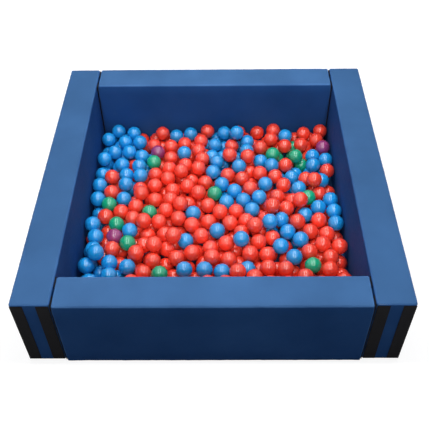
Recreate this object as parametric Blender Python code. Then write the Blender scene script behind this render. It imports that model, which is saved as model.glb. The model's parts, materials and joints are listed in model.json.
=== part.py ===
"""A square soft-play ball pit: four foam walls in vinyl covers, a padded floor mat and its fill of balls.

Metres, +Z up. The origin is at the centre of the underside, and the front wall is on the -Y side."""

import math

import bmesh
import bpy
import numpy as np

# The whole pit, over the side walls
PIT_WIDTH = 1.500
PIT_DEPTH = 1.500
WALL_HEIGHT = 0.380
WALL_THICKNESS = 0.150
FRONT_WALL_PROUD = 0.009
MAT_THICKNESS = 0.020
FIT_GAP = 0.0003
CUT_OVERRUN = 0.005

# Vinyl covers: the sheet, the soft edges, and how far the foam bulges each face
VINYL = 0.001
EDGE_RADIUS = 0.008
TOP_CROWN = 0.003
FACE_CROWN = 0.003
WALL_CELLS = (4, 2, 2)
MAT_CELLS = (3, 3, 1)

# Zip in each underside: a slot with raised lips, a tape that lies on the lips, and its teeth
ZIP_END_MARGIN = 0.060
ZIP_SLOT_WIDTH = 0.026
ZIP_LIP_HEIGHT = 0.009
ZIP_TAPE_WIDTH = 0.034
ZIP_TAPE_THICKNESS = 0.0008
ZIP_TEETH_WIDTH = 0.006
ZIP_TEETH_HEIGHT = 0.002
ZIP_POCKET_WIDTH = 0.042
ZIP_POCKET_HEIGHT = 0.0025

# Zip slider, with its pull moulded on
SLIDER_LENGTH = 0.014
SLIDER_SHELL = 0.0016
SLIDER_END_GAP = 0.004
PULL_WIDTH = 0.008
PULL_LENGTH = 0.030
PULL_THICKNESS = 0.0014
PULL_STEM_HEIGHT = 0.0012
PULL_STEM_LENGTH = 0.004
PULL_HOLE_WIDTH = 0.004
PULL_HOLE_LENGTH = 0.012
PULL_RIM = 0.003

# Hook-and-loop strips, two upright ones on each face that meets another section
STRIP_WIDTH = 0.048
STRIP_HEIGHT = 0.360
STRIP_THICKNESS = 0.002
STRIP_EDGE_MARGIN = 0.003

# Balls, how many layers of them fill the pit, and how the fill settles: shares of a diameter a step,
# and of each overlap
BALL_DIAMETER = 0.075
FILL_LAYERS_SHARE = 1.85
BALL_SEED = 8
RAIN_HEIGHT = 0.450
SETTLE_STEPS = 1400
CALM_STEPS = 700
FALL_SHARE = 0.012
SHAKE_SHARE = 0.30
PUSH_SHARE = 0.7
NEIGHBOUR_SHARE = 1.5
LIST_EVERY = 8
PLACE_GRAIN = 0.000001

# Necks that join balls of one colour, and the points where a single ball touches its neighbours
NECK_GAP_SHARE = 0.10
NECK_TURN_LIMIT_DEG = 33.0
TOUCH_GAP_SHARE = 0.012
TOUCH_TURN_LEAST_DEG = 5.0
JOIN_ROUNDS = 4

# Colour patches in the fill: x and y as shares of the inner half-widths, and each circle's reach as
# so many of PATCH_REACH_SHARE of the half-width
PATCH_REACH_SHARE = 0.12
BLUE_PATCH_SHARES = {
    "blue_balls_left": (
        (-0.95, 0.73, 0.8), (-0.95, 0.53, 0.8), (-0.95, 0.32, 0.7), (-0.95, 0.11, 0.7),
        (-0.95, -0.05, 0.7), (-0.80, 0.92, 1.0), (-0.77, 0.79, 1.3), (-0.78, 0.56, 0.7),
        (-0.57, 0.56, 0.9), (-0.69, 0.37, 0.7), (-0.69, 0.21, 0.5),
    ),
    "blue_balls_back": (
        (0.10, 0.92, 0.9), (0.02, 0.79, 1.0), (0.26, 0.83, 0.7), (0.25, 0.69, 0.6),
        (0.02, 0.61, 0.6), (0.02, 0.44, 0.7),
    ),
    "blue_balls_middle": ((0.13, 0.20, 0.8), (0.29, 0.08, 0.9)),
    "blue_balls_right": (
        (0.47, 0.63, 0.8), (0.64, 0.36, 1.0), (0.86, 0.50, 0.9), (0.94, 0.26, 0.7),
        (0.88, 0.06, 0.9), (0.94, -0.11, 0.7), (0.94, -0.30, 0.6),
    ),
    "blue_balls_front": (
        (0.53, -0.21, 0.9), (0.68, -0.31, 0.6), (0.56, -0.47, 0.9), (0.81, -0.54, 0.7),
    ),
    "blue_balls_corner": (
        (-0.91, -0.38, 0.8), (-0.90, -0.56, 0.9), (-0.78, -0.65, 0.9), (-0.64, -0.67, 0.7),
    ),
}
GREEN_CLUSTER_SHARES = ((0.66, 0.69, 0.5), (0.73, 0.82, 0.5), (0.70, 0.55, 0.5))
LOOSE_BALL_SHARES = {
    "green_ball_1": (-0.49, 0.48),
    "green_ball_2": (-0.03, 0.11),
    "green_ball_3": (-0.38, -0.13),
    "green_ball_4": (-0.54, -0.37),
    "green_ball_5": (-0.39, -0.57),
    "green_ball_6": (0.72, -0.57),
    "purple_ball_1": (-0.52, 0.74),
    "purple_ball_2": (-0.65, -0.32),
}

# Worked out from the sizes above
INNER_HALF_WIDTH = PIT_WIDTH / 2 - WALL_THICKNESS
SIDE_CENTRE_Y = FRONT_WALL_PROUD / 2
FRONT_INNER_Y = SIDE_CENTRE_Y - PIT_DEPTH / 2 - FRONT_WALL_PROUD + WALL_THICKNESS
BACK_INNER_Y = SIDE_CENTRE_Y + PIT_DEPTH / 2 - WALL_THICKNESS
INNER_CENTRE_Y = (FRONT_INNER_Y + BACK_INNER_Y) / 2
INNER_HALF_DEPTH = (BACK_INNER_Y - FRONT_INNER_Y) / 2
JOINT_GAP = 2 * STRIP_THICKNESS + 3 * FIT_GAP
END_WALL_LENGTH = 2 * (INNER_HALF_WIDTH - JOINT_GAP)
BALL_RADIUS = BALL_DIAMETER / 2
BALL_COUNT = round(FILL_LAYERS_SHARE * 4 * INNER_HALF_WIDTH * INNER_HALF_DEPTH / BALL_DIAMETER**2)


def material(name, colour, roughness, metallic=0.0):
    made = bpy.data.materials.new(name)
    made.use_nodes = True
    shader = made.node_tree.nodes["Principled BSDF"]
    shader.inputs["Base Color"].default_value = (*colour, 1.0)
    shader.inputs["Roughness"].default_value = roughness
    shader.inputs["Metallic"].default_value = metallic
    made.diffuse_color = (*colour, 1.0)
    return made


def add_object(name, points, faces, finish, parent=None):
    mesh = bpy.data.meshes.new(name)
    mesh.from_pydata([tuple(map(float, point)) for point in points], [], faces)
    mesh.materials.append(finish)
    mesh.validate()
    made = bpy.data.objects.new(name, mesh)
    made.parent = parent
    bpy.context.collection.objects.link(made)
    return made


def make_cutter(obj):
    obj.hide_render = True
    obj.display_type = "WIRE"
    return obj


def boolean(obj, other, operation="DIFFERENCE"):
    step = obj.modifiers.new(other.name, "BOOLEAN")
    step.operation = operation
    step.solver = "EXACT"
    step.object = other


def section(name, location, turn_deg):
    """An empty that places one section: its length along local X, its inner face towards local +Y."""
    empty = bpy.data.objects.new(name, None)
    empty.location = location
    empty.rotation_euler = (0, 0, math.radians(turn_deg))
    bpy.context.collection.objects.link(empty)
    return empty


def box(name, low, high, finish, parent):
    """A plain block between two corners."""
    shape = bmesh.new()
    bmesh.ops.create_cube(shape, size=1)
    low, high = np.array(low), np.array(high)
    middle, sides = (low + high) / 2, high - low
    points = [middle + np.array(vertex.co) * sides for vertex in shape.verts]
    faces = [[vertex.index for vertex in face.verts] for face in shape.faces]
    shape.free()
    return add_object(name, points, faces, finish, parent)


def extrusion(name, outline, x_low, x_high, finish, parent):
    """An outline of (y, z) points, anticlockwise seen from +X, carried along X."""
    count = len(outline)
    points = [(x, y, z) for x in (x_low, x_high) for y, z in outline]
    sides = [(i, (i + 1) % count, count + (i + 1) % count, count + i) for i in range(count)]
    caps = [tuple(reversed(range(count))), tuple(range(count, 2 * count))]
    return add_object(name, points, sides + caps, finish, parent)


def steps_along(low, high, radius, cells, flat_end=0):
    """Grid lines along one side of a soft block: at each end, where each rounding starts, where a
    flat end stops, and evenly between."""
    near, far = low + radius, high - radius
    if flat_end > radius:
        inner = np.linspace(low + flat_end, high - flat_end, cells + 1)
        return np.concatenate([[low, near], inner, [far, high]])
    return np.concatenate([[low], np.linspace(near, far, cells + 1), [high]])


def bulge(distance, half_span):
    """1 in the middle of a face, falling as a parabola to 0 at half_span from it."""
    return np.maximum(0, 1 - (distance / half_span) ** 2)


def soft_block(name, size, inset, cells, crowns, finish, parent):
    """A block with rounded edges and crowned faces, its underside flat on Z = 0.

    inset draws every face in, so nested skins stay parallel. crowns are the rises of the top and of
    the two long faces. The long faces bulge only between the ends where another section can meet them."""
    length, thickness, height = size
    top_crown, face_crown, face_half_span = crowns
    low = np.array([-length / 2, -thickness / 2, 0]) + inset
    high = np.array([length / 2, thickness / 2, height - top_crown]) - inset
    radius = EDGE_RADIUS - inset
    flat_ends = (high[0] - face_half_span, 0, 0)
    lines = [
        steps_along(low[axis], high[axis], radius, cells[axis], flat_ends[axis]) for axis in range(3)
    ]
    index, places, faces = {}, [], []

    def corner(key):
        if key not in index:
            index[key] = len(places)
            places.append([lines[axis][key[axis]] for axis in range(3)])
        return index[key]

    for axis in range(3):
        u, v = (axis + 1) % 3, (axis + 2) % 3
        for side in (0, len(lines[axis]) - 1):
            for i in range(len(lines[u]) - 1):
                for j in range(len(lines[v]) - 1):
                    ring = []
                    for a, b in ((i, j), (i + 1, j), (i + 1, j + 1), (i, j + 1)):
                        key = [side] * 3
                        key[u], key[v] = a, b
                        ring.append(corner(tuple(key)))
                    if not side:
                        ring.reverse()
                    faces += [(ring[0], ring[1], ring[2]), (ring[0], ring[2], ring[3])]
    points = np.array(places)
    core = np.clip(points, low + radius, high - radius)
    outward = points - core
    outward /= np.sqrt((outward**2).sum(axis=1))[:, None]
    points = core + radius * outward
    mid_height = (height - top_crown) / 2
    swell = bulge(points[:, 0], face_half_span) * bulge(points[:, 2] - mid_height, mid_height)
    rise = bulge(points[:, 0], length / 2) * bulge(points[:, 1], thickness / 2)
    points[:, 1] += face_crown * swell * outward[:, 1]
    points[:, 2] += top_crown * rise * np.maximum(0, outward[:, 2])
    made = add_object(name, points, faces, finish, parent)
    made.data.shade_smooth()
    return made


def zip_levels():
    """Heights over the floor: tape underside, teeth underside, slider floor top, slider underside."""
    tape = ZIP_LIP_HEIGHT + FIT_GAP
    teeth = tape - ZIP_TEETH_HEIGHT
    floor = teeth - FIT_GAP
    return tape, teeth, floor, floor - SLIDER_SHELL


def make_zip(name, length, finish, parent):
    tape, teeth, _, _ = zip_levels()
    half = ZIP_TAPE_WIDTH / 2
    tooth = ZIP_TEETH_WIDTH / 2
    top = tape + ZIP_TAPE_THICKNESS
    outline = [
        (half, tape), (half, top), (-half, top), (-half, tape),
        (-tooth, tape), (-tooth, teeth), (tooth, teeth), (tooth, tape),
    ]
    reach = length / 2 - ZIP_END_MARGIN
    return extrusion(name, outline, -reach, reach, finish, parent)


def make_slider(name, length, finish, parent):
    """A channel that runs round the teeth, with a stem under it and the pull on the stem."""
    tape, _, floor, under = zip_levels()
    inside = ZIP_TEETH_WIDTH / 2 + FIT_GAP
    outside = inside + SLIDER_SHELL
    rim = tape - FIT_GAP
    outline = [
        (outside, under), (outside, rim), (inside, rim), (inside, floor),
        (-inside, floor), (-inside, rim), (-outside, rim), (-outside, under),
    ]
    anchor = section(name + "_line", (length / 2 - ZIP_END_MARGIN - SLIDER_END_GAP, 0, 0), 0)
    anchor.parent = parent
    body = extrusion(name, outline, -SLIDER_LENGTH, 0, finish, anchor)
    stem_top = under + SLIDER_SHELL / 2
    pull_top = under - PULL_STEM_HEIGHT
    pull_low = pull_top - PULL_THICKNESS
    stem_far = -PULL_STEM_LENGTH
    stem = box(
        name + "_stem",
        (stem_far - PULL_STEM_LENGTH, -PULL_STEM_LENGTH / 2, pull_low + PULL_THICKNESS / 2),
        (stem_far, PULL_STEM_LENGTH / 2, stem_top),
        finish,
        anchor,
    )
    pull_end = stem_far - PULL_LENGTH
    pull = box(
        name + "_pull",
        (pull_end, -PULL_WIDTH / 2, pull_low),
        (stem_far, PULL_WIDTH / 2, pull_top),
        finish,
        anchor,
    )
    hole = box(
        name + "_pull_hole",
        (pull_end + PULL_RIM, -PULL_HOLE_WIDTH / 2, pull_low - CUT_OVERRUN),
        (pull_end + PULL_RIM + PULL_HOLE_LENGTH, PULL_HOLE_WIDTH / 2, pull_top + PULL_STEM_HEIGHT / 2),
        finish,
        anchor,
    )
    boolean(body, make_cutter(stem), "UNION")
    boolean(body, make_cutter(pull), "UNION")
    boolean(body, make_cutter(hole))
    return body


def make_padded_section(prefix, size, cells, crowns, finishes, parent):
    """Cover, foam, zip and slider of one section. The zip slot runs along the middle of the underside."""
    length = size[0]
    vinyl, foam_finish, zip_finish, slider_finish = finishes
    reach = length / 2 - ZIP_END_MARGIN
    slot_half = ZIP_SLOT_WIDTH / 2
    lip_half = slot_half + VINYL

    cover = soft_block(prefix + "_cover", size, 0, cells, crowns, vinyl, parent)
    cavity = soft_block(prefix + "_cavity", size, VINYL, cells, crowns, vinyl, parent)
    lips = box(
        prefix + "_lips",
        (-reach - VINYL, -lip_half, -CUT_OVERRUN),
        (reach + VINYL, lip_half, ZIP_LIP_HEIGHT),
        vinyl,
        parent,
    )
    slot = box(
        prefix + "_slot",
        (-reach, -slot_half, -CUT_OVERRUN),
        (reach, slot_half, ZIP_LIP_HEIGHT + CUT_OVERRUN),
        vinyl,
        parent,
    )
    boolean(make_cutter(cavity), make_cutter(lips))
    boolean(cover, cavity)
    boolean(cover, make_cutter(slot))

    foam = soft_block(prefix + "_foam", size, VINYL + FIT_GAP, cells, crowns, foam_finish, parent)
    tape_top = zip_levels()[0] + ZIP_TAPE_THICKNESS
    pocket = box(
        prefix + "_zip_pocket",
        (-reach - CUT_OVERRUN, -ZIP_POCKET_WIDTH / 2, -CUT_OVERRUN),
        (reach + CUT_OVERRUN, ZIP_POCKET_WIDTH / 2, tape_top + ZIP_POCKET_HEIGHT),
        foam_finish,
        parent,
    )
    boolean(foam, make_cutter(pocket))
    make_zip(prefix + "_zip", length, zip_finish, parent)
    make_slider(prefix + "_zip_slider", length, slider_finish, parent)


def strip_rows(thickness):
    """Middles of the two upright strips across a thickness: towards the outer and the inner face."""
    offset = thickness / 2 - STRIP_EDGE_MARGIN - STRIP_WIDTH / 2
    return (("outer", -offset), ("inner", offset))


def make_end_strips(prefix, length, finish, parent):
    """Two strips on each end face of a section, standing off along its length."""
    low_z = (WALL_HEIGHT - TOP_CROWN - STRIP_HEIGHT) / 2
    for end, sign in (("a", -1), ("b", 1)):
        near = length / 2 + FIT_GAP
        ends = sorted((sign * near, sign * (near + STRIP_THICKNESS)))
        for row, y in strip_rows(WALL_THICKNESS):
            box(
                f"{prefix}_{end}_{row}",
                (ends[0], y - STRIP_WIDTH / 2, low_z),
                (ends[1], y + STRIP_WIDTH / 2, low_z + STRIP_HEIGHT),
                finish,
                parent,
            )


def make_joint_strips(prefix, joints, finish, parent):
    """Two strips on a side wall's inner face at each end, over as much of it as another wall covers."""
    low_z = (WALL_HEIGHT - TOP_CROWN - STRIP_HEIGHT) / 2
    near = WALL_THICKNESS / 2 + FIT_GAP
    for end, side, covered in joints:
        for row, offset in strip_rows(covered):
            x = side * ((PIT_DEPTH - covered) / 2 - offset)
            box(
                f"{prefix}_{end}_{row}",
                (x - STRIP_WIDTH / 2, near, low_z),
                (x + STRIP_WIDTH / 2, near + STRIP_THICKNESS, low_z + STRIP_HEIGHT),
                finish,
                parent,
            )


def icosahedron():
    """Twelve points on the unit sphere, one straight down and one straight up, and faces facing out."""
    ring_height, ring_radius = 1 / math.sqrt(5), 2 / math.sqrt(5)
    fifth = math.tau / 5
    points = [(0, 0, -1)]
    for height, turn in ((-ring_height, 0), (ring_height, fifth / 2)):
        for k in range(5):
            angle = k * fifth + turn
            points.append((ring_radius * math.cos(angle), ring_radius * math.sin(angle), height))
    points.append((0, 0, 1))
    faces = []
    for k in range(5):
        low, low_next = 1 + k, 1 + (k + 1) % 5
        up, up_next = 6 + k, 6 + (k + 1) % 5
        faces += [(0, low_next, low), (low, low_next, up), (low_next, up_next, up), (11, up, up_next)]
    return np.array(points), faces


def near_pairs(places, reach):
    """Index pairs of balls whose centres are nearer than reach, and their distances."""
    gap = places[:, None, :] - places[None, :, :]
    distance = np.sqrt((gap**2).sum(axis=2))
    first, second = np.nonzero(np.triu(distance < reach, 1))
    return first, second, distance[first, second]


def settle_balls():
    """Centres of the balls after they have rained into the pit, one above the other, at random.

    Each step lowers every ball a little and shakes it sideways, ever less, then pushes apart the pairs
    that overlap and keeps each ball off the mat and the walls."""
    clear = BALL_DIAMETER + FIT_GAP
    wall_room = BALL_RADIUS + FACE_CROWN + FIT_GAP
    half_width = INNER_HALF_WIDTH - wall_room
    half_depth = INNER_HALF_DEPTH - wall_room
    low = np.array([-half_width, -half_depth, MAT_THICKNESS + BALL_RADIUS + FIT_GAP])
    high = np.array([half_width, half_depth, math.inf])
    chance = np.random.default_rng(BALL_SEED)
    places = chance.uniform(-1, 1, (BALL_COUNT, 3)) * [half_width, half_depth, 0]
    places[:, 2] = low[2] + (np.arange(BALL_COUNT) + 0.5) / BALL_COUNT * RAIN_HEIGHT
    for step in range(SETTLE_STEPS + CALM_STEPS):
        if step < SETTLE_STEPS:
            places[:, 2] -= FALL_SHARE * BALL_DIAMETER
            shake = (1 - step / SETTLE_STEPS) * SHAKE_SHARE * BALL_DIAMETER
            places[:, :2] += shake * chance.uniform(-1, 1, (BALL_COUNT, 2))
        if step % LIST_EVERY == 0:
            first, second, _ = near_pairs(places, NEIGHBOUR_SHARE * clear)
        gap = places[first] - places[second]
        distance = np.sqrt((gap**2).sum(axis=1))
        push = PUSH_SHARE * np.maximum(0, clear - distance) / distance
        for axis in range(3):
            moved = push * gap[:, axis]
            places[:, axis] += np.bincount(first, moved, BALL_COUNT)
            places[:, axis] -= np.bincount(second, moved, BALL_COUNT)
        places = np.round(np.clip(places, low, high) / PLACE_GRAIN) * PLACE_GRAIN
    return places


class Groups:
    """Sets of balls that grow together as they are joined."""

    def __init__(self, count):
        self.parent = list(range(count))

    def root(self, ball):
        while self.parent[ball] != ball:
            ball = self.parent[ball]
        return ball

    def join(self, a, b):
        a, b = self.root(a), self.root(b)
        self.parent[max(a, b)] = min(a, b)
        return a != b


def in_patch(places, circles):
    """Which balls lie within reach of any circle of a patch."""
    found = np.zeros(len(places), bool)
    for x_share, y_share, reach in circles:
        x = places[:, 0] - x_share * INNER_HALF_WIDTH
        y = places[:, 1] - y_share * INNER_HALF_DEPTH
        found |= x**2 + y**2 < (reach * PATCH_REACH_SHARE * INNER_HALF_WIDTH) ** 2
    return found


def free_above(places, ball):
    """Whether nothing stands in this ball's way straight up."""
    higher = places[:, 2] > places[ball, 2]
    flat = np.sqrt(((places[:, :2] - places[ball, :2]) ** 2).sum(axis=1))
    return not (higher & (flat < BALL_DIAMETER)).any()


def colour_balls(places):
    """The node name of each ball: its patch, its own name if it is loose, or the mixed balls."""
    names = np.array(["mixed_balls"] * len(places), dtype=object)
    for name, circles in BLUE_PATCH_SHARES.items():
        names[in_patch(places, circles)] = name
    names[in_patch(places, GREEN_CLUSTER_SHARES)] = "green_balls"
    for name, (x_share, y_share) in LOOSE_BALL_SHARES.items():
        x = places[:, 0] - x_share * INNER_HALF_WIDTH
        y = places[:, 1] - y_share * INNER_HALF_DEPTH
        for ball in np.argsort(x**2 + y**2, kind="stable"):
            if names[ball] not in LOOSE_BALL_SHARES and free_above(places, ball):
                names[ball] = name
                break
    return names


class BallMesh:
    """The points and faces of a set of balls. Each face of a ball is used once, by a neck or a touch."""

    def __init__(self, places):
        self.places = places
        self.shape, self.faces = icosahedron()
        self.normals = np.array([self.shape[list(face)].mean(axis=0) for face in self.faces])
        self.normals /= np.sqrt((self.normals**2).sum(axis=1))[:, None]
        self.opposite = [int(np.argmin(self.normals @ normal)) for normal in self.normals]
        self.antipode = [int(np.argmin(self.shape @ point)) for point in self.shape]
        self.used = set()
        self.necks = []
        self.touches = []

    def facing(self, direction):
        """The face that looks most nearly along a direction, and the angle between them."""
        lean = self.normals @ direction
        face = int(np.argmax(lean))
        return face, math.degrees(math.acos(min(1.0, float(lean[face]))))

    def shared_face(self, a, b):
        """The face of ball a that looks at ball b, and whether it and the face opposite it are free."""
        gap = self.places[b] - self.places[a]
        face, _ = self.facing(gap / math.sqrt(float((gap**2).sum())))
        return face, (a, face) not in self.used and (b, self.opposite[face]) not in self.used

    def neck(self, a, b):
        """Join balls a and b where they face each other. Returns whether both faces were free."""
        face, free = self.shared_face(a, b)
        if free:
            self.used |= {(a, face), (b, self.opposite[face])}
            self.necks.append((a, b, face))
        return free

    def touch(self, a, b):
        """Raise a point on each of two balls where they meet, FIT_GAP apart."""
        gap = self.places[b] - self.places[a]
        distance = math.sqrt(float((gap**2).sum()))
        direction = gap / distance
        turn = math.degrees(math.acos(min(1.0, float((self.shape @ direction).max()))))
        face, free = self.shared_face(a, b)
        if turn < TOUCH_TURN_LEAST_DEG or not free:
            return
        back = self.opposite[face]
        self.used |= {(a, face), (b, back)}
        reach = (distance - FIT_GAP) / 2
        self.touches.append((a, face, self.places[a] + reach * direction))
        self.touches.append((b, back, self.places[b] - reach * direction))

    def solid(self, name, balls, finish):
        """One closed mesh of these balls with their necks and touching points, its origin in their middle."""
        start = {ball: len(self.shape) * k for k, ball in enumerate(balls)}
        points = list(np.concatenate([self.places[ball] + BALL_RADIUS * self.shape for ball in balls]))
        dropped, added = set(), []
        for a, b, face in self.necks:
            if a in start:
                v = [start[a] + corner for corner in self.faces[face]]
                w = [start[b] + self.antipode[corner] for corner in self.faces[face]]
                for i, j, k in ((0, 1, 2), (1, 2, 0), (2, 0, 1)):
                    added += [(v[i], v[j], w[k]), (w[i], w[k], v[j])]
                dropped |= {(a, face), (b, self.opposite[face])}
        for ball, face, point in self.touches:
            if ball in start:
                v = [start[ball] + corner for corner in self.faces[face]]
                points.append(point)
                tip = len(points) - 1
                added += [(v[0], v[1], tip), (v[1], v[2], tip), (v[2], v[0], tip)]
                dropped.add((ball, face))
        for ball in balls:
            for number, face in enumerate(self.faces):
                if (ball, number) not in dropped:
                    added.append(tuple(start[ball] + corner for corner in face))
        middle = self.places[balls].mean(axis=0)
        made = add_object(name, np.array(points) - middle, added, finish)
        made.location = middle
        return made


def neck_order(places, pairs):
    """Links from the deepest up, so that most necks lie under the balls that show."""
    depth = [places[a, 2] + places[b, 2] for a, b in pairs]
    return [pairs[k] for k in np.argsort(depth, kind="stable")]


def join_balls(balls, names, links):
    """Neck linked balls of one name together, until each name is one body.

    A part that can't reach the largest one of its name takes the name of a neighbour that it can join."""
    groups = Groups(len(names))
    for _ in range(JOIN_ROUNDS):
        for a, b in links:
            if names[a] == names[b] and groups.root(a) != groups.root(b) and balls.neck(a, b):
                groups.join(a, b)
        roots = np.array([groups.root(ball) for ball in range(len(names))])
        for name in sorted(set(names) - set(LOOSE_BALL_SHARES)):
            members = names == name
            kept = np.bincount(roots[members]).argmax()
            for part in sorted(set(roots[members]) - {kept}):
                pairs = [(a, b) if roots[a] == part else (b, a) for a, b in links]
                others = [
                    names[b]
                    for a, b in pairs
                    if roots[a] == part != roots[b] and balls.shared_face(a, b)[1]
                ]
                others = sorted(other for other in others if other not in (name, *LOOSE_BALL_SHARES))
                if others:
                    names[roots == part] = max(others, key=others.count)


def make_balls(finishes):
    places = settle_balls()
    balls = BallMesh(places)
    first, second, distance = near_pairs(places, BALL_DIAMETER * (1 + NECK_GAP_SHARE))
    links = []
    for a, b, apart in zip(first.tolist(), second.tolist(), distance):
        if balls.facing((places[b] - places[a]) / apart)[1] < NECK_TURN_LIMIT_DEG:
            links.append((a, b))
    names = colour_balls(places)
    close = distance < BALL_DIAMETER * (1 + TOUCH_GAP_SHARE)
    for a, b in zip(first[close].tolist(), second[close].tolist()):
        if names[a] in LOOSE_BALL_SHARES or names[b] in LOOSE_BALL_SHARES:
            balls.touch(a, b)
    join_balls(balls, names, neck_order(places, links))
    for name in sorted(set(names)):
        members = [int(ball) for ball in np.nonzero(names == name)[0]]
        print(name, len(members), "balls")
        balls.solid(name, members, finishes[name.split("_")[0]])


def main():
    for obj in list(bpy.data.objects):
        bpy.data.objects.remove(obj)

    vinyl = material("blue_vinyl", (0.055, 0.135, 0.36), 0.5)
    foam = material("polyurethane_foam", (0.72, 0.70, 0.60), 0.95)
    tape = material("zip_tape", (0.01, 0.02, 0.07), 0.8)
    slider = material("zip_slider_metal", (0.35, 0.35, 0.36), 0.35, 1.0)
    hook_loop = material("black_hook_and_loop", (0.008, 0.008, 0.009), 0.95)
    finishes = {
        "mixed": material("red_plastic", (0.90, 0.05, 0.02), 0.3),
        "blue": material("blue_plastic", (0.02, 0.28, 0.85), 0.3),
        "green": material("green_plastic", (0.01, 0.32, 0.14), 0.3),
        "purple": material("purple_plastic", (0.24, 0.03, 0.14), 0.3),
    }
    skin_set = (vinyl, foam, tape, slider)
    side_size = (PIT_DEPTH, WALL_THICKNESS, WALL_HEIGHT)
    end_size = (END_WALL_LENGTH, WALL_THICKNESS, WALL_HEIGHT)
    side_crowns = (TOP_CROWN, FACE_CROWN, PIT_DEPTH / 2 - WALL_THICKNESS)
    end_crowns = (TOP_CROWN, FACE_CROWN, END_WALL_LENGTH / 2)
    side_x = PIT_WIDTH / 2 - WALL_THICKNESS / 2

    for name, x, turn in (("left_wall", -side_x, -90), ("right_wall", side_x, 90)):
        place = section(name + "_section", (x, SIDE_CENTRE_Y, 0), turn)
        make_padded_section(name, side_size, WALL_CELLS, side_crowns, skin_set, place)
        make_end_strips(name + "_end_strip", PIT_DEPTH, hook_loop, place)
        front = 1 if turn < 0 else -1
        joints = (("front", front, WALL_THICKNESS - FRONT_WALL_PROUD), ("back", -front, WALL_THICKNESS))
        make_joint_strips(name + "_hook_strip", joints, hook_loop, place)

    front_y = FRONT_INNER_Y - WALL_THICKNESS / 2
    back_y = BACK_INNER_Y + WALL_THICKNESS / 2
    for name, y, turn in (("front_wall", front_y, 0), ("back_wall", back_y, 180)):
        place = section(name + "_section", (0, y, 0), turn)
        make_padded_section(name, end_size, WALL_CELLS, end_crowns, skin_set, place)
        make_end_strips(name + "_loop_strip", END_WALL_LENGTH, hook_loop, place)

    mid_height = (WALL_HEIGHT - TOP_CROWN) / 2
    swell = FACE_CROWN * float(bulge(MAT_THICKNESS - mid_height, mid_height))
    mat_place = section("floor_section", (0, INNER_CENTRE_Y, 0), 0)
    mat_length = 2 * (INNER_HALF_WIDTH - swell - FIT_GAP)
    mat_width = 2 * (INNER_HALF_DEPTH - swell - FIT_GAP)
    mat_size = (mat_length, mat_width, MAT_THICKNESS)
    make_padded_section("floor_mat", mat_size, MAT_CELLS, (0, 0, mat_length / 2), skin_set, mat_place)

    make_balls(finishes)


main()
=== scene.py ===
# %% [markdown]
# # A soft-play ball pit, dressed around its solid model
#
# The real thing is four foam walls and a mat in blue vinyl covers, held together at the corners by
# black hook-and-loop strips, and a few hundred hollow plastic balls. The solid model says where each
# piece lies. This file makes the fine surface of every piece in the same place, gives it its material,
# and lights and photographs the whole.

# %% Load the solid model
import json
import math

import bpy
import numpy as np
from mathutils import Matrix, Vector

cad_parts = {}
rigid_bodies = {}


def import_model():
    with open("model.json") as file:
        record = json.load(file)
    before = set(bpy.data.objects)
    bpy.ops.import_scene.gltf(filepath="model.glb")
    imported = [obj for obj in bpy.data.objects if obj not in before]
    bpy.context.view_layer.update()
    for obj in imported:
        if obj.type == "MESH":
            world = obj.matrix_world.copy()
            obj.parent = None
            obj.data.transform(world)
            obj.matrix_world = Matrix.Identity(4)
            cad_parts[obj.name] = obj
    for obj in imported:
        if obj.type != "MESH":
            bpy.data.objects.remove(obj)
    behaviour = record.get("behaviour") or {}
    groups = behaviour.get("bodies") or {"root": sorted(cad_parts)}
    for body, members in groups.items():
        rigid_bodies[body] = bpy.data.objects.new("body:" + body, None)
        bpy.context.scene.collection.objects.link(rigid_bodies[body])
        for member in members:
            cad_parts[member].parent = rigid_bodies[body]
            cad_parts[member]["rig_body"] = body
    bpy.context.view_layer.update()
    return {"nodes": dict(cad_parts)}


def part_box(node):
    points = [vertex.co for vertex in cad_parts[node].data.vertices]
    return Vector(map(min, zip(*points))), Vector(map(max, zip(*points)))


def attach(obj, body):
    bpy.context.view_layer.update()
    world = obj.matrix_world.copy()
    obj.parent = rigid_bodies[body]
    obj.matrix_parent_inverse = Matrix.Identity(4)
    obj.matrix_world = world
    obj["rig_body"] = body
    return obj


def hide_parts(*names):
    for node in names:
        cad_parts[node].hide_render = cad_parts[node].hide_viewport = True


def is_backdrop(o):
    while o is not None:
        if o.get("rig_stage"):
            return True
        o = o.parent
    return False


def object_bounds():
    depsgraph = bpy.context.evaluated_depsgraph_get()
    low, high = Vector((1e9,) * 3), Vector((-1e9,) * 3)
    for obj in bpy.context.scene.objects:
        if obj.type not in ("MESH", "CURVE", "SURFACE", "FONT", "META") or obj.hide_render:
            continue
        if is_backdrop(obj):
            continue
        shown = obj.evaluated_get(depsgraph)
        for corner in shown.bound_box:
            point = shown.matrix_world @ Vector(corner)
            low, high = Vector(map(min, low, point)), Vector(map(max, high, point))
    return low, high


for leftover in list(bpy.data.objects):
    bpy.data.objects.remove(leftover)

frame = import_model()
nodes = frame["nodes"]

# %% [markdown]
# ## The camera
#
# A camera can be placed by eye, or worked out from known points. Here the place, the turn and the lens
# follow from the pit's own corners: sixteen of them were matched to where the picture shows them. The
# lens is a short telephoto one, held at head height in front of the pit and looking steeply down.

# %% Place the camera
CAMERA_PLACE = (0.0381, -2.1215, 2.3185)
CAMERA_TURN_DEG = (43.282, 0.679, 0.290)
LENS_MM = 54.26
SENSOR_MM = 36.0

camera_data = bpy.data.cameras.new("camera")
camera_data.lens = LENS_MM
camera_data.sensor_width = SENSOR_MM
camera = bpy.data.objects.new("camera", camera_data)
camera.location = CAMERA_PLACE
camera.rotation_euler = [math.radians(turn) for turn in CAMERA_TURN_DEG]
bpy.context.scene.collection.objects.link(camera)
bpy.context.scene.camera = camera
bpy.context.scene.view_settings.view_transform = "Standard"
print("camera:", CAMERA_PLACE, "lens", LENS_MM, "mm")

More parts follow.
